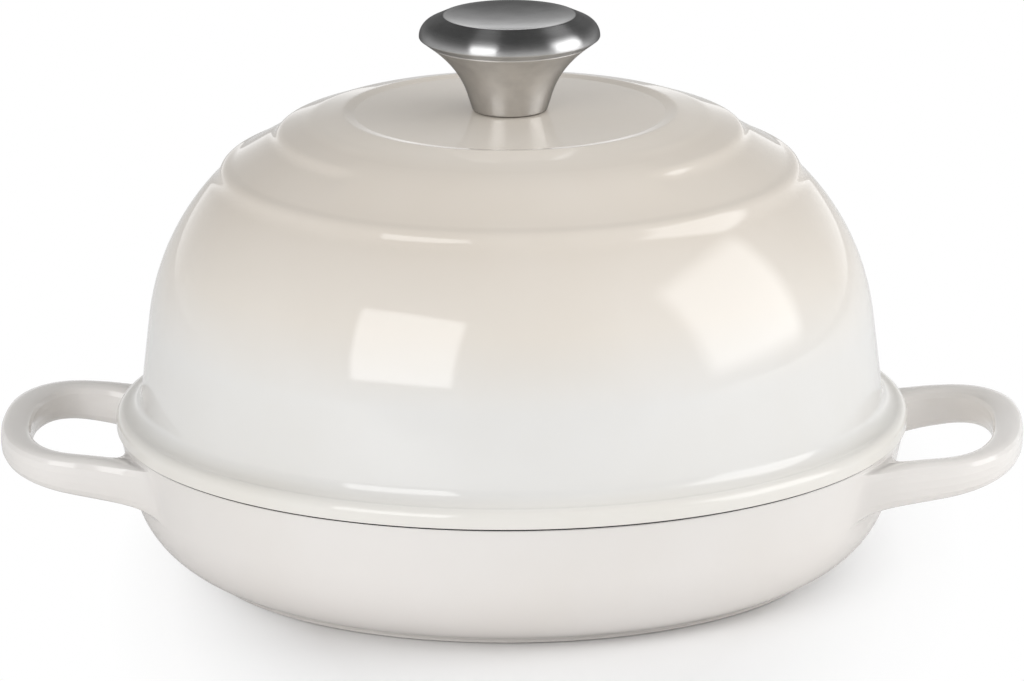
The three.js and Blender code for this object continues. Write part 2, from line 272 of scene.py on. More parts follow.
def dish_profile():
    foot = on_arc(dish_corner, DISH_CORNER, foot_angle).x
    ridges = []
    for radius in reversed(RIDGE_RADII):
        for aside, rise in ((RIDGE_HALF, 0), (0, RIDGE_HEIGHT), (-RIDGE_HALF, 0)):
            ridges.append((radius + aside, DISH_FLOOR + rise, RIDGE_ROUND))
    return [
        (0, 0),
        (foot, 0, 0.5),
        (foot, FOOT_EDGE),
        (dish_corner, DISH_CORNER, foot_angle, -DISH_LEAN, 9),
        *[(dish_outer(root_height(row)), root_height(row)) for row in range(1, ROOT_CELLS + 1)],
        (RIM_RADIUS, RIM_HEIGHT, RIM_ROUND),
        (dish_inner(RIM_HEIGHT), RIM_HEIGHT, 0.8),
        (dish_inner(DISH_FLOOR), DISH_FLOOR, DISH_CORNER - DISH_WALL),
        *ridges,
        (0, DISH_FLOOR),
    ]


def loop_low(x):
    return LOOP_BOTTOM + (x - RIM_RADIUS) * math.tan(LOOP_BOTTOM_RISE)


def loop_high(x):
    return LOOP_TOP + (x - RIM_RADIUS) * math.tan(LOOP_TOP_RISE)


def loop_section(across, up):
    """Move a point of a square from -1 to 1 onto a bar with round edges."""
    edge = max(abs(across), abs(up), 1e-9)
    u, v = across / edge, up / edge
    shrink = edge / (abs(u) ** LOOP_EDGE_POWER + abs(v) ** LOOP_EDGE_POWER) ** (1 / LOOP_EDGE_POWER)
    return u * shrink, v * shrink


def loop_place(inner, outer, across, up):
    """A point of the bar between the inner and the outer outline of the loop."""
    u, v = loop_section(across, up)
    x, y = (inner + outer) / 2 + (outer - inner) / 2 * u
    low, high = loop_low(x), loop_high(x)
    return Vector((x, y, (low + high) / 2 + (high - low) / 2 * v))


def arm_start(across, up):
    inner = Vector((ARM_START, LOOP_HALF - LOOP_ARM))
    return loop_place(inner, Vector((ARM_START, LOOP_HALF)), across, up)


def root_place(across, up, share):
    """A point of the hollow curve from the wall into the arm."""
    column, row = (across + 1) * ROOT_CELLS / 2, (up + 1) * ROOT_CELLS / 2
    angle = ROOT_FIRST + column * ROOT_STEP
    height = root_height(row)
    radius = dish_outer(height)
    wall = Vector((radius * math.cos(angle), radius * math.sin(angle), height))
    arm = arm_start(across, up)
    fall = (ARM_START - ROOT_MEETING) * math.tan(LOOP_BOTTOM_RISE)
    meet_height = min(arm.z - fall, root_high - 0.15)
    meet_radius = dish_outer(meet_height)
    meet = Vector((math.sqrt(meet_radius ** 2 - arm.y ** 2), arm.y, meet_height))
    leave, arrive = wall.lerp(meet, 0.6), arm.lerp(meet, 0.6)
    a, b, c = wall.lerp(leave, share), leave.lerp(arrive, share), arrive.lerp(arm, share)
    return a.lerp(b, share).lerp(b.lerp(c, share), share)


def end_place(across, up, angle):
    """A point of the round end; the angle runs from the arm to the tip."""
    power = 2 / LOOP_SQUARENESS
    out, aside = math.sin(angle) ** power, max(0.0, math.cos(angle)) ** power
    reach = LOOP_TIP - LOOP_CENTRE
    outer = Vector((LOOP_CENTRE + reach * out, LOOP_HALF * aside))
    inner = Vector((LOOP_CENTRE + (reach - LOOP_END) * out, (LOOP_HALF - LOOP_ARM) * aside))
    return loop_place(inner, outer, across, up)


def on_root(middle):
    on_wall = math.hypot(middle.x, middle.y) > dish_outer(middle.z) - DISH_WALL / 2
    in_height = root_low < middle.z < root_high
    in_angle = ROOT_FIRST < math.atan2(middle.y, middle.x) < root_last
    return on_wall and in_height and in_angle


def pull_loop(piece):
    """Extrude half a loop out of the wall, section by section, to the middle of the handle."""
    select_faces(piece, on_root)
    mesh = bmesh.from_edit_mesh(piece.data)
    across_layer = mesh.verts.layers.float.new("across")
    up_layer = mesh.verts.layers.float.new("up")
    for vert in mesh.verts:
        if vert.select:
            x, y, z = vert.co / MM
            column = (math.atan2(y, x) - ROOT_FIRST) / ROOT_STEP
            row = ROOT_CELLS * (z - root_low) / (root_high - root_low)
            vert[across_layer] = 2 * round(column) / ROOT_CELLS - 1
            vert[up_layer] = 2 * round(row) / ROOT_CELLS - 1
    bmesh.update_edit_mesh(piece.data)

    stations = [lambda u, v, t=share: root_place(u, v, t) for share in (0.14, 0.3, 0.48, 0.68, 1)]
    stations += [lambda u, v, t=turn: end_place(u, v, t * DEG)
                 for turn in (0, 9, 18, 28, 38, 48, 58, 68, 77, 84, 90)]
    for place in stations:
        bpy.ops.mesh.extrude_region_move()
        mesh = bmesh.from_edit_mesh(piece.data)
        across_layer = mesh.verts.layers.float["across"]
        up_layer = mesh.verts.layers.float["up"]
        for vert in mesh.verts:
            if vert.select:
                vert.co = place(vert[across_layer], vert[up_layer]) * MM
        bmesh.update_edit_mesh(piece.data)
    bpy.ops.mesh.delete(type="FACE")


def apply_modifier(piece, kind, **settings):
    modifier = piece.modifiers.new(kind.title(), kind)
    for name, value in settings.items():
        setattr(modifier, name, value)
    bpy.ops.object.modifier_apply(modifier=modifier.name)


def in_well(radius, height):
    """Inside the dish, from the floor up to and over the rim."""
    if height > RIM_HEIGHT - 0.25:
        return True
    if height > wall_start:
        return radius < dish_outer(height) - DISH_WALL / 2
    from_corner = math.hypot(max(0, radius - dish_corner[0]), DISH_CORNER - height)
    return from_corner < DISH_CORNER - DISH_FLOOR / 2


def make_dish(outside, inside):
    piece = draw_profile("dish_enamelled", dish_profile(), arc_step=15 * DEG)
    turn_profile(QUARTER_SEGMENTS, math.pi / 2)
    pull_loop(piece)
    bpy.ops.object.mode_set(mode="OBJECT")
    apply_modifier(piece, "MIRROR", use_axis=(True, True, False), merge_threshold=1e-5)
    apply_modifier(piece, "SUBSURF", levels=1, render_levels=1)
    bpy.ops.object.mode_set(mode="EDIT")
    close_surface()
    finish_piece(piece, "base", "base_dish", (outside, inside))
    paint_faces(piece, 1, lambda radius, height: radius < RIM_RADIUS and in_well(radius, height))


# Lid

lid_foot = FLANGE_RADIUS - FLANGE_WIDTH
dome_top_of_wall = lid_foot - (LID_WALL_TOP - FLANGE_HEIGHT) * math.tan(LID_LEAN)
dome_centre = (dome_top_of_wall - DOME_ROUND * math.cos(LID_LEAN), CROWN - DOME_ROUND)


def dome_height(radius):
    return dome_centre[1] + math.sqrt(DOME_ROUND ** 2 - max(0, radius - dome_centre[0]) ** 2)


def lid_inner(height):
    across = (DOME_ROUND - LID_WALL) / math.cos(LID_LEAN)
    return dome_centre[0] + across - (height - dome_centre[1]) * math.tan(LID_LEAN)


outer_foot = Vector((OUTER_STEP, dome_height(OUTER_STEP)))
outer_edge = outer_foot + Vector((-1.9, 4.2))
ledge = outer_foot + Vector((-5.3, 5.42))
inner_foot = Vector((INNER_STEP, dome_height(INNER_STEP) - 0.2))
inner_edge = inner_foot + Vector((-1.8, 2.7))
crest = Vector((CREST, CROWN - 0.2))
upper_bow = inner_edge.lerp(crest, 0.5) + Vector((0, 0.75))


def stops_between(start, end, parts):
    """Points that cut a line into equal parts, without its ends."""
    return [tuple(start.lerp(end, part / parts)) for part in range(1, parts)]


def lid_profile():
    lip = dish_inner(RIM_HEIGHT - LIP_HEIGHT) - LIP_GAP
    foot_of_step = math.acos((OUTER_STEP - dome_centre[0]) / DOME_ROUND)
    ceiling = CROWN - LID_WALL
    bottom = SEAT - LIP_HEIGHT
    return [
        (lid_inner(bottom), bottom),
        (lip, bottom, 0.8),
        (lip, SEAT, 0.4),
        (FLANGE_RADIUS, SEAT, 0.5),
        (FLANGE_RADIUS, SEAT + FLANGE_HEIGHT, FLANGE_TOP_ROUND),
        (lid_foot, SEAT + FLANGE_HEIGHT, FLANGE_ROOT_ROUND),
        (dome_centre, DOME_ROUND, LID_LEAN, foot_of_step - 2.1 * DEG, 30),
        (*outer_foot, 11),
        (*outer_edge, 4),
        (*ledge, 10),
        *stops_between(ledge, inner_foot, 6),
        (*inner_foot, 6.5),
        (*inner_edge, 4.2),
        *stops_between(inner_edge, upper_bow, 4),
        (*upper_bow, 20),
        *stops_between(upper_bow, crest, 4),
        (*crest, 4),
        (DISC, CROWN - 0.75, 1),
        (KNOB_FOOT + 2, CROWN),
        (SCREW_HOLE, CROWN, 0.3),
        (SCREW_HOLE, ceiling, 0.3),
        (dome_centre, DOME_ROUND - LID_WALL, math.pi / 2, LID_LEAN, 24),
        (lid_inner(bottom), bottom),
    ]


def between(low, high, radius):
    """Height of the line through two points of the profile."""
    return low.y + (high.y - low.y) * (low.x - radius) / (low.x - high.x)


def plain_height(radius):
    """Height round the front, where one bow runs over the place of the inner step."""
    inward = (PLAIN_OUT - radius) / (PLAIN_OUT - PLAIN_IN)
    low = between(ledge, inner_foot, PLAIN_OUT)
    high = between(upper_bow, crest, PLAIN_IN)
    low_rise = between(ledge, inner_foot, PLAIN_IN) - low
    high_rise = high - between(upper_bow, crest, PLAIN_OUT)
    bow = (low + (high - low) * ease(inward) + low_rise * inward * (1 - inward) ** 2
           - high_rise * inward ** 2 * (1 - inward))
    return bow + PLAIN_BULGE * math.sin(math.pi * inward) ** 2


def ease(share):
    share = min(1, max(0, share))
    return share * share * (3 - 2 * share)


def fill_front(piece):
    """Smooth the inner step away round the front, so that it runs out on both sides."""
    mesh = bmesh.from_edit_mesh(piece.data)
    for vert in mesh.verts:
        x, y, z = vert.co / MM
        radius = math.hypot(x, y)
        if PLAIN_IN < radius < PLAIN_OUT and z > dome_height(radius) - LID_WALL / 2:
            share = 1 - ease((abs(math.atan2(x, -y)) - PLAIN_SECTOR) / PLAIN_FADE)
            vert.co.z = (z + (plain_height(radius) - z) * share) * MM
    bmesh.update_edit_mesh(piece.data)


def in_lid(radius, height):
    """Inside the lid, with its lip and the face that stands on the dish."""
    if height < SEAT + 0.15:
        return True
    from_middle = math.hypot(max(0, radius - dome_centre[0]), max(0, height - dome_centre[1]))
    if height > dome_centre[1]:
        return from_middle < DOME_ROUND - LID_WALL / 2
    return radius < lid_inner(height) + LID_WALL / 2


def make_lid(outside, inside):
    piece = draw_profile("lid_enamelled", lid_profile())
    turn_profile(IRON_SEGMENTS)
    fill_front(piece)
    finish_piece(piece, "lid", "cloche_lid", (outside, inside))
    paint_faces(piece, 1, in_lid)


# Knob

KNOB_EDGE_ROUND = 5.1     # from the widest place up
KNOB_UNDER = 37 * DEG
KNOB_TOP = 25 * DEG
KNOB_HOLLOW = KNOB_RADIUS - 7.55
KNOB_HOLLOW_DEPTH = 1.5
KNOB_SEAM = KNOB_RADIUS - 2.8
NECK_HEIGHT = 5.3         # of the straight part of the stem, under its flare
NECK_LEAN = 17.5 * DEG
FLARE_STEPS = 16
knob_edge = (KNOB_RADIUS - KNOB_EDGE_ROUND, CROWN + 24.26)
knob_over = on_arc(knob_edge, KNOB_EDGE_ROUND, math.pi / 2 - KNOB_TOP)
knob_under = knob_edge[1] - 0.33
seam_height = knob_under - (KNOB_RADIUS - KNOB_SEAM) * math.tan(KNOB_UNDER)
socket_top = seam_height + 2.2


def make_cap(polished):
    rim = knob_over.y + (knob_over.x - KNOB_HOLLOW) * math.tan(KNOB_TOP)
    bowl = (KNOB_HOLLOW ** 2 + KNOB_HOLLOW_DEPTH ** 2) / (2 * KNOB_HOLLOW_DEPTH)
    bowl_centre = (0, rim - KNOB_HOLLOW_DEPTH + bowl)
    bowl_angle = math.asin(KNOB_HOLLOW / bowl)
    piece = draw_profile("knob_cap_polished", [
        (0, socket_top),
        (KNOB_SEAM, socket_top, 0.2),
        (KNOB_SEAM, seam_height, 0.25),
        (KNOB_RADIUS, knob_under, 0.62),
        (knob_edge, KNOB_EDGE_ROUND, 0, math.pi / 2 - KNOB_TOP, 20),
        (KNOB_HOLLOW, rim, 1.5),
        (bowl_centre, bowl, bowl_angle * 0.9 - math.pi / 2, -math.pi / 2, 16),
    ])
    turn_profile(KNOB_SEGMENTS)
    finish_piece(piece, "lid", "knob_cap", (polished,))


def make_stem(satin):
    foot = CROWN + SEAT_GAP
    top = socket_top - SEAT_GAP
    radius = KNOB_SEAM - SEAT_GAP
    rim = seam_height - SEAT_GAP * math.tan(KNOB_UNDER)
    neck = Vector((KNOB_FOOT + NECK_HEIGHT * math.tan(NECK_LEAN), foot + NECK_HEIGHT))
    steep, flat = 1 / math.tan(NECK_LEAN), math.tan(KNOB_UNDER)
    bend_x = (rim - neck.y + steep * neck.x - flat * radius) / (steep - flat)
    bend = Vector((bend_x, neck.y + (bend_x - neck.x) * steep))
    end = Vector((radius, rim))
    flare = []
    for step in range(FLARE_STEPS):
        share = step / FLARE_STEPS
        flare.append(tuple(neck.lerp(bend, share).lerp(bend.lerp(end, share), share)))
    bore = INSERT_RADIUS + SEAT_GAP
    bore_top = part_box("knob_stem")[0].z / MM + INSERT_BORE + SEAT_GAP
    piece = draw_profile("knob_stem_satin", [
        (0, bore_top),
        (bore, bore_top, 0.2),
        (bore, foot, 0.2),
        (KNOB_FOOT, foot, 0.8),
        *flare,
        (radius, rim, 0.25),
        (radius, top, 0.2),
        (0, top),
    ])
    turn_profile(KNOB_SEGMENTS)
    finish_piece(piece, "lid", "knob_stem", (satin,))


# Fixing of the knob

WASHER_THICKNESS = 1.2
SCREW_HEAD = 6
SCREW_HEAD_HEIGHT = 3.2
THREAD_PITCH = 1
THREAD_DEPTH = 0.5
washer_top = CROWN - LID_WALL - SEAT_GAP
screw_seat = washer_top - WASHER_THICKNESS - SEAT_GAP
screw_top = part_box("knob_screw")[1].z / MM


def make_insert(plated):
    low, high = (corner.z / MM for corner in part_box("knob_insert"))
    inner = SCREW_RADIUS + SEAT_GAP
    middle = (low + high) / 2
    piece = draw_profile("knob_insert_turned", [
        (inner, low),
        (INSERT_RADIUS, low, 0.4),
        (INSERT_RADIUS, middle - 1.2, 0.2),
        (INSERT_RADIUS - 0.8, middle - 0.8, 0.2),
        (INSERT_RADIUS - 0.8, middle + 0.8, 0.2),
        (INSERT_RADIUS, middle + 1.2, 0.2),
        (INSERT_RADIUS, high, 0.4),
        (inner, high, 0.3),
        (inner, low),
    ])
    turn_profile(SCREW_SEGMENTS)
    finish_piece(piece, "lid", "knob_insert", (plated,))


def make_washer(plated):
    inner = SCREW_RADIUS + SEAT_GAP
    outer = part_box("screw_washer")[1].y / MM
    low = washer_top - WASHER_THICKNESS
    piece = draw_profile("screw_washer_stamped", [
        (inner, low + WASHER_THICKNESS / 2),
        (inner, low, 0.15),
        (outer, low, 0.45),
        (outer, washer_top, 0.15),
        (inner, washer_top, 0.3),
        (inner, low + WASHER_THICKNESS / 2),
    ])
    turn_profile(WASHER_SEGMENTS)
    finish_piece(piece, "lid", "screw_washer", (plated,))


def cut_cross(piece, height):
    """Sink a cross for the driver into the head, with walls that lean in."""
    bpy.ops.object.select_all(action="DESELECT")
    bpy.ops.mesh.primitive_cube_add(size=1.4 * MM, location=(0, 0, height * MM))
    cutter = bpy.context.object
    bpy.ops.object.transform_apply(location=True)
    bpy.ops.object.mode_set(mode="EDIT")
    select_faces(cutter, lambda middle: abs(middle.z - height) < 0.1)
    bpy.ops.mesh.extrude_faces_move(TRANSFORM_OT_shrink_fatten={"value": 2.3 * MM})
    select_faces(cutter, lambda middle: middle.z > height + 0.5)
    bpy.ops.transform.resize(value=(0.62, 0.62, 1), center_override=(0, 0, height * MM))
    bpy.ops.transform.translate(value=(0, 0, 1.1 * MM))
    bpy.ops.mesh.select_all(action="SELECT")
    bpy.ops.mesh.normals_make_consistent(inside=False)
    bpy.ops.object.mode_set(mode="OBJECT")
    bpy.ops.object.select_all(action="DESELECT")
    piece.select_set(True)
    bpy.context.view_layer.objects.active = piece
    apply_modifier(piece, "BOOLEAN", object=cutter, operation="DIFFERENCE", solver="EXACT")
    bpy.data.objects.remove(cutter)


def wind_thread(low, high):
    """A triangular ridge wound about Z, sunk a little into the shank."""
    root = SCREW_RADIUS - THREAD_DEPTH - 0.1
    half = THREAD_PITCH * 0.42
    ridge = start_point("screw_thread", Vector((root, low)))
    draw_to(Vector((root, low)), Vector((SCREW_RADIUS, low + half)))
    draw_to(Vector((SCREW_RADIUS, low + half)), Vector((root, low + 2 * half)))
    draw_to(Vector((root, low + 2 * half)), Vector((root, low)))
    bpy.ops.mesh.select_all(action="SELECT")
    bpy.ops.mesh.remove_doubles(threshold=1e-6)
    bpy.ops.object.mode_set(mode="OBJECT")
    turns = int((high - low) / THREAD_PITCH) - 1
    apply_modifier(ridge, "SCREW", axis="Z", angle=2 * math.pi, steps=32, render_steps=32,
                   screw_offset=THREAD_PITCH * MM, iterations=turns, use_merge_vertices=True)
    bpy.ops.object.mode_set(mode="EDIT")
    bpy.ops.mesh.select_all(action="DESELECT")
    bpy.ops.mesh.select_mode(type="EDGE")
    bpy.ops.mesh.select_non_manifold()
    bpy.ops.mesh.edge_face_add()
    close_surface()
    bpy.ops.object.mode_set(mode="OBJECT")
    return ridge


def make_screw(plated):
    head_low = screw_seat - SCREW_HEAD_HEIGHT
    shank = SCREW_RADIUS - THREAD_DEPTH
    piece = draw_profile("knob_screw_pan_head", [
        (0, head_low),
        (SCREW_HEAD, head_low, 1.6),
        (SCREW_HEAD, screw_seat, 0.2),
        (SCREW_RADIUS, screw_seat),
        (SCREW_RADIUS, CROWN - 1.5, 0.3),
        (shank, CROWN - 1, 0.3),
        (shank, screw_top - 0.7),
        (shank - 0.7, screw_top),
        (0, screw_top),
    ])
    turn_profile(SCREW_SEGMENTS)
    bpy.ops.object.mode_set(mode="OBJECT")
    cut_cross(piece, head_low)
    thread = wind_thread(CROWN - 0.8, screw_top - 0.8)
    bpy.ops.object.select_all(action="DESELECT")
    thread.select_set(True)
    piece.select_set(True)
    bpy.context.view_layer.objects.active = piece
    bpy.ops.object.join()
    finish_piece(piece, "lid", "knob_screw", (plated,))


# Materials

def add_node(tree, kind, **settings):
    node = tree.nodes.new("ShaderNode" + kind)
    for name, value in settings.items():
        setattr(node, name, value)
    return node


def add_math(tree, operation, *values):
    """A Math node; each value is a socket or a number."""
    node = add_node(tree, "Math", operation=operation)
    for socket, value in zip(node.inputs, values):
        if isinstance(value, bpy.types.NodeSocket):
            tree.links.new(value, socket)
        else:
            socket.default_value = value
    return node.outputs["Value"]


def add_noise(tree, place, scale, detail):
    node = add_node(tree, "TexNoise")
    node.inputs["Scale"].default_value = scale
    node.inputs["Detail"].default_value = detail
    tree.links.new(place, node.inputs["Vector"])
    return node.outputs["Fac"]


def new_group(name, inputs, outputs):
    """A node group of value sockets, with its input and output nodes."""
    tree = bpy.data.node_groups.new(name, "ShaderNodeTree")
    for label, value in inputs.items():
        socket = tree.interface.new_socket(label, in_out="INPUT", socket_type="NodeSocketFloat")
        socket.default_value = value
    for label in outputs:
        tree.interface.new_socket(label, in_out="OUTPUT", socket_type="NodeSocketFloat")
    return tree, tree.nodes.new("NodeGroupInput"), tree.nodes.new("NodeGroupOutput")


def enamel_skin_group():
    """Waves of the melted glass and its faint cloudiness."""
    tree, given, put = new_group("enamel_skin", {"Waves": 80, "Clouds": 14}, ("Height", "Cloud"))
    place = add_node(tree, "TexCoord").outputs["Object"]
    waves = add_node(tree, "TexNoise")
    waves.inputs["Detail"].default_value = 1
    clouds = add_node(tree, "TexNoise")
    clouds.inputs["Detail"].default_value = 3
    for node, label in ((waves, "Waves"), (clouds, "Clouds")):
        tree.links.new(place, node.inputs["Vector"])
        tree.links.new(given.outputs[label], node.inputs["Scale"])
    tree.links.new(waves.outputs["Fac"], put.inputs["Height"])
    tree.links.new(clouds.outputs["Fac"], put.inputs["Cloud"])
    return tree


def turned_lines_group():
    """Fine lines that run round the axis, as a lathe or a polishing wheel leaves them."""
    tree, given, put = new_group("turned_lines", {"Density": 9000}, ("Lines", "Smears", "Away"))
    place = add_node(tree, "TexCoord").outputs["Object"]
    split = add_node(tree, "SeparateXYZ")
    tree.links.new(place, split.inputs["Vector"])
    flat = add_node(tree, "CombineXYZ")
    tree.links.new(split.outputs["X"], flat.inputs["X"])
    tree.links.new(split.outputs["Y"], flat.inputs["Y"])
    length = add_node(tree, "VectorMath", operation="LENGTH")
    tree.links.new(flat.outputs["Vector"], length.inputs[0])
    along = add_node(tree, "CombineXYZ")
    across = add_math(tree, "MULTIPLY", length.outputs["Value"], given.outputs["Density"])
    upward = add_math(tree, "MULTIPLY", split.outputs["Z"], given.outputs["Density"])
    tree.links.new(across, along.inputs["X"])
    tree.links.new(upward, along.inputs["Y"])
    lines = add_noise(tree, along.outputs["Vector"], 1, 2)
    smears = add_noise(tree, place, 160, 3)
    tree.links.new(lines, put.inputs["Lines"])
    tree.links.new(smears, put.inputs["Smears"])
    tree.links.new(length.outputs["Value"], put.inputs["Away"])
    return tree


def new_material(name, colour, roughness, metallic):
    material = bpy.data.materials.new(name)
    material.use_nodes = True
    tree = material.node_tree
    shader = tree.nodes["Principled BSDF"]
    shader.inputs["Base Color"].default_value = (*colour, 1)
    shader.inputs["Roughness"].default_value = roughness
    shader.inputs["Metallic"].default_value = metallic
    return material, tree, shader


def place_group(tree, group, **values):
    node = add_node(tree, "Group", node_tree=group)
    for label, value in values.items():
        node.inputs[label].default_value = value
    return node


def add_bump(tree, shader, height, distance):
    bump = add_node(tree, "Bump")
    bump.inputs["Distance"].default_value = distance
    tree.links.new(height, bump.inputs["Height"])
    tree.links.new(bump.outputs["Normal"], shader.inputs["Normal"])


def grey(value):
    return (value, value, value)


def add_ramp(tree, value, stops):
    """A colour ramp through (position, colour) stops."""
    ramp = add_node(tree, "ValToRGB")
    elements = ramp.color_ramp.elements
    while len(elements) < len(stops):
        elements.new(0.5)
    for element, (position, colour) in zip(elements, stops):
        element.position = position
        element.color = (*colour, 1)
    tree.links.new(value, ramp.inputs["Fac"])
    return ramp.outputs["Color"]


def add_range(tree, value, low, high, to_low=0, to_high=1):
    node = add_node(tree, "MapRange")
    node.inputs["From Min"].default_value = low
    node.inputs["From Max"].default_value = high
    node.inputs["To Min"].default_value = to_low
    node.inputs["To Max"].default_value = to_high
    tree.links.new(value, node.inputs["Value"])
    return node.outputs["Result"]


def tint(tree, colour, mask, tone):
    """Multiply a colour by a tone where the mask is high."""
    mix = add_node(tree, "Mix", data_type="RGBA", blend_type="MULTIPLY")
    tree.links.new(mask, mix.inputs["Factor"])
    tree.links.new(colour, mix.inputs["A"])
    mix.inputs["B"].default_value = (*tone, 1)
    return mix.outputs["Result"]


def pale_enamel(name, skin, low, high, stops):
    """Glossy enamel whose colour changes with height, between two heights in millimetres."""
    material, tree, shader = new_material(name, stops[0][1], 0.035, 0)
    split = add_node(tree, "SeparateXYZ")
    tree.links.new(add_node(tree, "TexCoord").outputs["Object"], split.inputs["Vector"])
    level = add_range(tree, split.outputs["Z"], low * MM, high * MM)
    surface = place_group(tree, skin, Waves=75, Clouds=16)
    cloud = add_range(tree, surface.outputs["Cloud"], 0.45, 0.75)
    colour = tint(tree, add_ramp(tree, level, stops), cloud, (0.975, 0.968, 0.955))
    tree.links.new(colour, shader.inputs["Base Color"])
    roughness = add_range(tree, surface.outputs["Cloud"], 0.3, 0.7, 0.025, 0.045)
    tree.links.new(roughness, shader.inputs["Roughness"])
    add_bump(tree, shader, surface.outputs["Height"], 0.03 * MM)
    return material


def satin_black_enamel(skin):
    material, tree, shader = new_material("satin_black_enamel", (0.02, 0.02, 0.021), 0.4, 0)
    surface = place_group(tree, skin, Waves=900, Clouds=420)
    speck = add_range(tree, surface.outputs["Cloud"], 0.62, 0.72)
    colour = add_ramp(tree, speck, [(0, (0.017, 0.017, 0.018)), (1, (0.042, 0.041, 0.04))])
    tree.links.new(colour, shader.inputs["Base Color"])
    roughness = add_range(tree, surface.outputs["Cloud"], 0.3, 0.7, 0.34, 0.48)
    tree.links.new(roughness, shader.inputs["Roughness"])
    add_bump(tree, shader, surface.outputs["Height"], 0.02 * MM)
    return material


def turned_steel(name, lines, colour, roughness, anisotropic, depth, edge, bright_inside=0):
    """Steel with turned lines, and painted shade on its edges: a specular tint of edge, lower than
    steel's own, darkens them where they are seen at a slant. Nearer to the axis than bright_inside,
    a radius in millimetres, the tint rises, so it is brighter there, and its shine is plain."""
    material, tree, shader = new_material(name, colour, roughness, 1)
    marks = place_group(tree, lines, Density=9000)
    rough = add_range(tree, marks.outputs["Lines"], 0.3, 0.7, roughness * 0.9, roughness * 1.1)
    if bright_inside:
        outside = add_range(
            tree, marks.outputs["Away"], (bright_inside - 0.5) * MM, bright_inside * MM)
        rough = add_math(tree, "MULTIPLY", rough, add_range(tree, outside, 0, 1, 0.5, 1))
        tree.links.new(add_range(tree, outside, 0, 1, 0, anisotropic), shader.inputs["Anisotropic"])
        # Painted edge shade: the specular tint is 0.85 in the hollow and edge outside it.
        painted_edge_shade = add_ramp(tree, outside, [(0, grey(0.85)), (1, grey(edge))])
        tree.links.new(painted_edge_shade, shader.inputs["Specular Tint"])
    else:
        shader.inputs["Anisotropic"].default_value = anisotropic
        # Painted edge shade: a specular tint of edge darkens the grazing edges.
        shader.inputs["Specular Tint"].default_value = (*grey(edge), 1)
    tree.links.new(rough, shader.inputs["Roughness"])
    worn = add_range(tree, marks.outputs["Smears"], 0.4, 0.8)
    darker = tuple(channel * 0.86 for channel in colour)
    tree.links.new(add_ramp(tree, worn, [(0, colour), (1, darker)]), shader.inputs["Base Color"])
    shader.inputs["Anisotropic Rotation"].default_value = 0.25
    round_axis = add_node(tree, "Tangent", direction_type="RADIAL", axis="Z")
    tree.links.new(round_axis.outputs["Tangent"], shader.inputs["Tangent"])
    add_bump(tree, shader, marks.outputs["Lines"], depth)
    return material


enamel_skin = enamel_skin_group()
turned_lines = turned_lines_group()
CREAM_AND_SHADE = (0.71, 0.655, 0.588)
CREST_CREAM_PAINTED_LIGHT = (0.775, 0.72, 0.65)
IVORY_AND_SHADE = (0.76, 0.715, 0.655)
WARM_MILK = (0.785, 0.765, 0.725)
MILK = (0.757, 0.75, 0.733)
# The lid darkens from milk to cream toward the crown: partly the enamel's own cream, partly painted
# shade where the crown gets less light.
lid_enamel = pale_enamel("lid_enamel", enamel_skin, SEAT, CROWN, [
    (0, WARM_MILK), (0.05, WARM_MILK), (0.09, MILK), (0.33, MILK), (0.56, IVORY_AND_SHADE), (0.78, CREAM_AND_SHADE),
    # At the crest and the disc the colour turns lighter again: painted light in place of light from
    # above.
    (0.965, CREAM_AND_SHADE), (0.985, CREST_CREAM_PAINTED_LIGHT)])
dish_enamel = pale_enamel("dish_enamel", enamel_skin, 0, RIM_HEIGHT, [
    (0, (0.80, 0.765, 0.735)), (1, (0.80, 0.775, 0.75))])
black_enamel = satin_black_enamel(enamel_skin)
# The edge values are specular tints below steel's own. They paint shade onto the grazing edges,
# most on the polished cap and least on the plated parts.
polished_steel = turned_steel(
    "polished_steel", turned_lines, (0.60, 0.60, 0.60), roughness=0.3, anisotropic=0.98,
    depth=0.0002 * MM, edge=0.2, bright_inside=KNOB_HOLLOW)
satin_steel = turned_steel(
    "satin_steel", turned_lines, (0.69, 0.675, 0.655), roughness=0.34, anisotropic=0.85,
    depth=0.0008 * MM, edge=0.4)
plated_steel = turned_steel(
    "plated_steel", turned_lines, (0.52, 0.52, 0.51), roughness=0.37, anisotropic=0,
    depth=0.001 * MM, edge=0.8)


# Studio

def direction(around, up):
    """Towards a place; around runs from the front to the right."""
    return Vector((
        math.sin(around) * math.cos(up), -math.cos(around) * math.cos(up), math.sin(up)))


def facing(toward, roll):
    """Turn of a camera or a lamp that stands in this direction and looks back."""
    return (toward.to_track_quat("Z", "Y") @ Quaternion((0, 0, 1), roll)).to_euler()


def make_camera():
    toward = direction(2.3 * DEG, 15.11 * DEG)
    aim = Vector((0.0002, 0, 0.0708))
    bpy.ops.object.camera_add(location=aim + toward * 3.0)
    camera = bpy.context.object
    camera.rotation_euler = facing(toward, -0.35 * DEG)
    camera.data.sensor_width = 36
    camera.data.lens = 329.2
    bpy.context.scene.camera = camera


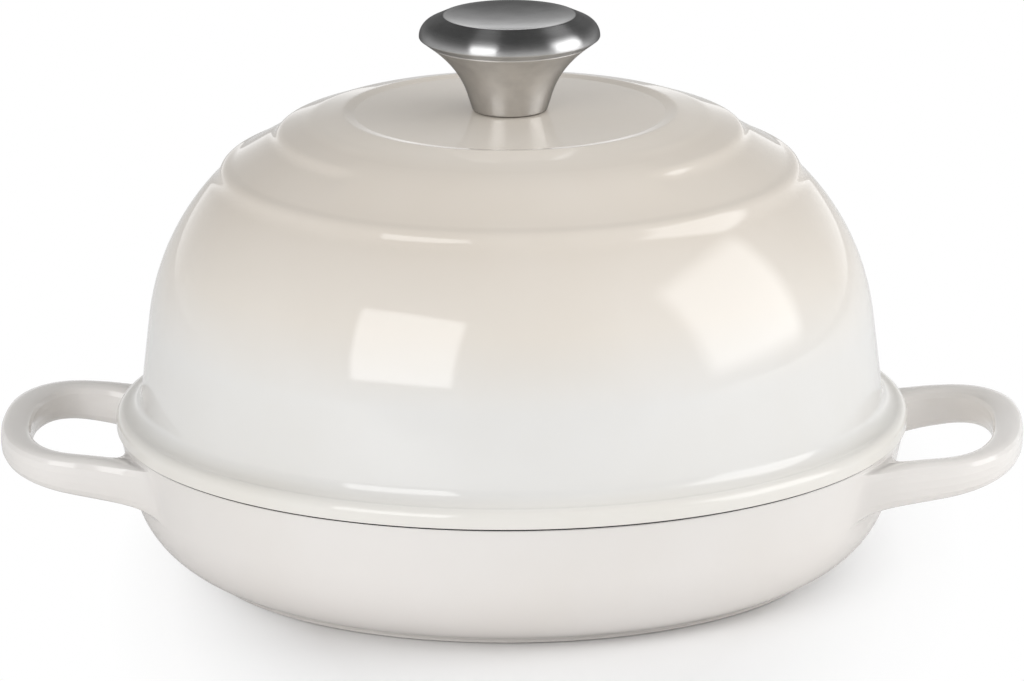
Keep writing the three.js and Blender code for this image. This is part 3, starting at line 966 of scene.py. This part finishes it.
def make_lamp(name, around, up, roll, distance, width, height, radiance, edge):
    """A soft box that faces the object. Its light fades over edge, a share of half its width."""
    toward = direction(around, up)
    aim = Vector((0, 0, 0.09))
    bpy.ops.object.light_add(type="AREA", location=aim + toward * distance)
    lamp = bpy.context.object
    lamp.name = name
    lamp.rotation_euler = facing(toward, roll)
    lamp.data.shape = "RECTANGLE"
    lamp.data.size = width
    lamp.data.size_y = height
    lamp.data.energy = radiance * math.pi * width * height
    lamp.data.use_nodes = True
    tree = lamp.data.node_tree
    split = add_node(tree, "SeparateXYZ")
    tree.links.new(add_node(tree, "NewGeometry").outputs["Parametric"], split.inputs["Vector"])
    fades = []
    for side in ("X", "Y"):
        from_middle = add_math(tree, "SUBTRACT", split.outputs[side], 0.5)
        fades.append(add_range(tree, add_math(tree, "ABSOLUTE", from_middle), 0.5, 0.5 - edge / 2))
    tree.links.new(add_math(tree, "MULTIPLY", *fades), tree.nodes["Emission"].inputs["Strength"])


FLOOR_DROP = 0.2 * MM     # under the object, so that their faces don't coincide
FLOOR_TOUCH = 1 * MM      # rays shorter than this start on what stands on the floor
UNDERSIDE = 88 * MM       # radius within the foot of the dish, where such rays pass


def mix_shaders(tree, share, first, second):
    mix = add_node(tree, "MixShader")
    tree.links.new(share, mix.inputs["Fac"])
    tree.links.new(first, mix.inputs[1])
    tree.links.new(second, mix.inputs[2])
    return mix.outputs["Shader"]


def make_floor():
    """White paper. To the camera it glows with painted light that lifts its shadow more the farther
    it lies from the object, until it is as white as the backdrop. From below it is clear, and so it
    is to the underside of the dish, which stays light."""
    bpy.ops.object.select_all(action="DESELECT")
    bpy.ops.mesh.primitive_plane_add(size=8, location=(0, 0, -FLOOR_DROP))
    floor = bpy.context.object
    floor.name = "floor"
    material, tree, shader = new_material("white_paper", grey(0.9), 1, 0)
    tree.nodes.remove(shader)
    place = add_node(tree, "TexCoord").outputs["Object"]
    squeeze = add_node(tree, "Mapping")
    squeeze.inputs["Location"].default_value = (-0.009, 0, 0)
    squeeze.inputs["Scale"].default_value = (1, 0.4, 1)
    tree.links.new(place, squeeze.inputs["Vector"])
    lengths = []
    for vector in (squeeze.outputs["Vector"], place):
        length = add_node(tree, "VectorMath", operation="LENGTH")
        tree.links.new(vector, length.inputs[0])
        lengths.append(length.outputs["Value"])
    along_front, from_middle = lengths
    # Painted light: the glow that lifts the paper's shadow grows along this distance. It is an
    # ellipse drawn out front to back and set 9 mm to the right of the object.
    away = add_math(tree, "MAXIMUM", along_front, add_math(tree, "SUBTRACT", from_middle, 0.085))
    white = add_ramp(tree, add_range(tree, away, 0.075, 0.175), [
        (0, grey(0)), (0.15, grey(0.3)), (0.28, grey(0.6)), (0.42, grey(0.85)), (0.62, grey(1))])
    rays = add_node(tree, "LightPath")
    paper = add_node(tree, "BsdfDiffuse")
    paper.inputs["Color"].default_value = (*grey(0.9), 1)
    seen = mix_shaders(
        tree, add_math(tree, "MULTIPLY", rays.outputs["Is Camera Ray"], white),
        paper.outputs["BSDF"], add_node(tree, "Emission").outputs["Emission"])
    short = add_math(tree, "LESS_THAN", rays.outputs["Ray Length"], FLOOR_TOUCH)
    under = add_math(tree, "LESS_THAN", from_middle, UNDERSIDE)
    behind = add_node(tree, "NewGeometry").outputs["Backfacing"]
    clear = add_math(tree, "MAXIMUM", behind, add_math(tree, "MULTIPLY", short, under))
    surface = mix_shaders(tree, clear, seen, add_node(tree, "BsdfTransparent").outputs["BSDF"])
    tree.links.new(surface, tree.nodes["Material Output"].inputs["Surface"])
    floor.data.materials.append(material)


def make_world():
    """White to the camera, an even soft light on the object, and for reflections a studio that is
    white round the horizon and dark overhead, darker in front and on the left."""
    world = bpy.data.worlds.new("studio")
    bpy.context.scene.world = world
    world.use_nodes = True
    tree = world.node_tree
    split = add_node(tree, "SeparateXYZ")
    tree.links.new(add_node(tree, "TexCoord").outputs["Generated"], split.inputs["Vector"])
    light = tree.nodes["Background"]
    light.inputs["Color"].default_value = (*grey(0.605), 1)
    studio = add_ramp(tree, split.outputs["Z"], [
        (0, grey(1.25)), (0.05, grey(1)), (0.12, grey(0.74)), (0.25, grey(0.44)),
        (0.42, grey(0.22)), (0.9, grey(0.11))])
    not_behind = add_range(tree, split.outputs["Y"], 0.95, 0.75)
    left = add_range(tree, split.outputs["X"], 1, -1)
    studio = tint(tree, studio, not_behind, grey(0.64))
    studio = tint(tree, studio, left, grey(0.85))
    mirrored = add_node(tree, "Background")
    tree.links.new(studio, mirrored.inputs["Color"])
    backdrop = add_node(tree, "Background")
    backdrop.inputs["Color"].default_value = (*grey(1), 1)
    rays = add_node(tree, "LightPath")
    surface = light.outputs["Background"]
    for ray, other in (("Is Glossy Ray", mirrored), ("Is Transmission Ray", mirrored),
                       ("Is Camera Ray", backdrop)):
        surface = mix_shaders(tree, rays.outputs[ray], surface, other.outputs["Background"])
    tree.links.new(surface, tree.nodes["World Output"].inputs["Surface"])


make_camera()
make_floor()
make_world()
make_lamp("left_soft_box", around=-32.4 * DEG, up=21.7 * DEG, roll=2.5 * DEG, distance=1.5,
          width=0.935, height=0.885, radiance=3.55, edge=0.13)
make_lamp("right_soft_box", around=85 * DEG, up=23 * DEG, roll=0, distance=1.5,
          width=1.3, height=1.25, radiance=3, edge=0.3)

make_dish(dish_enamel, black_enamel)
make_lid(lid_enamel, black_enamel)
make_cap(polished_steel)
make_stem(satin_steel)
make_insert(plated_steel)
make_screw(plated_steel)
make_washer(plated_steel)

bpy.context.scene.view_settings.view_transform = "Standard"
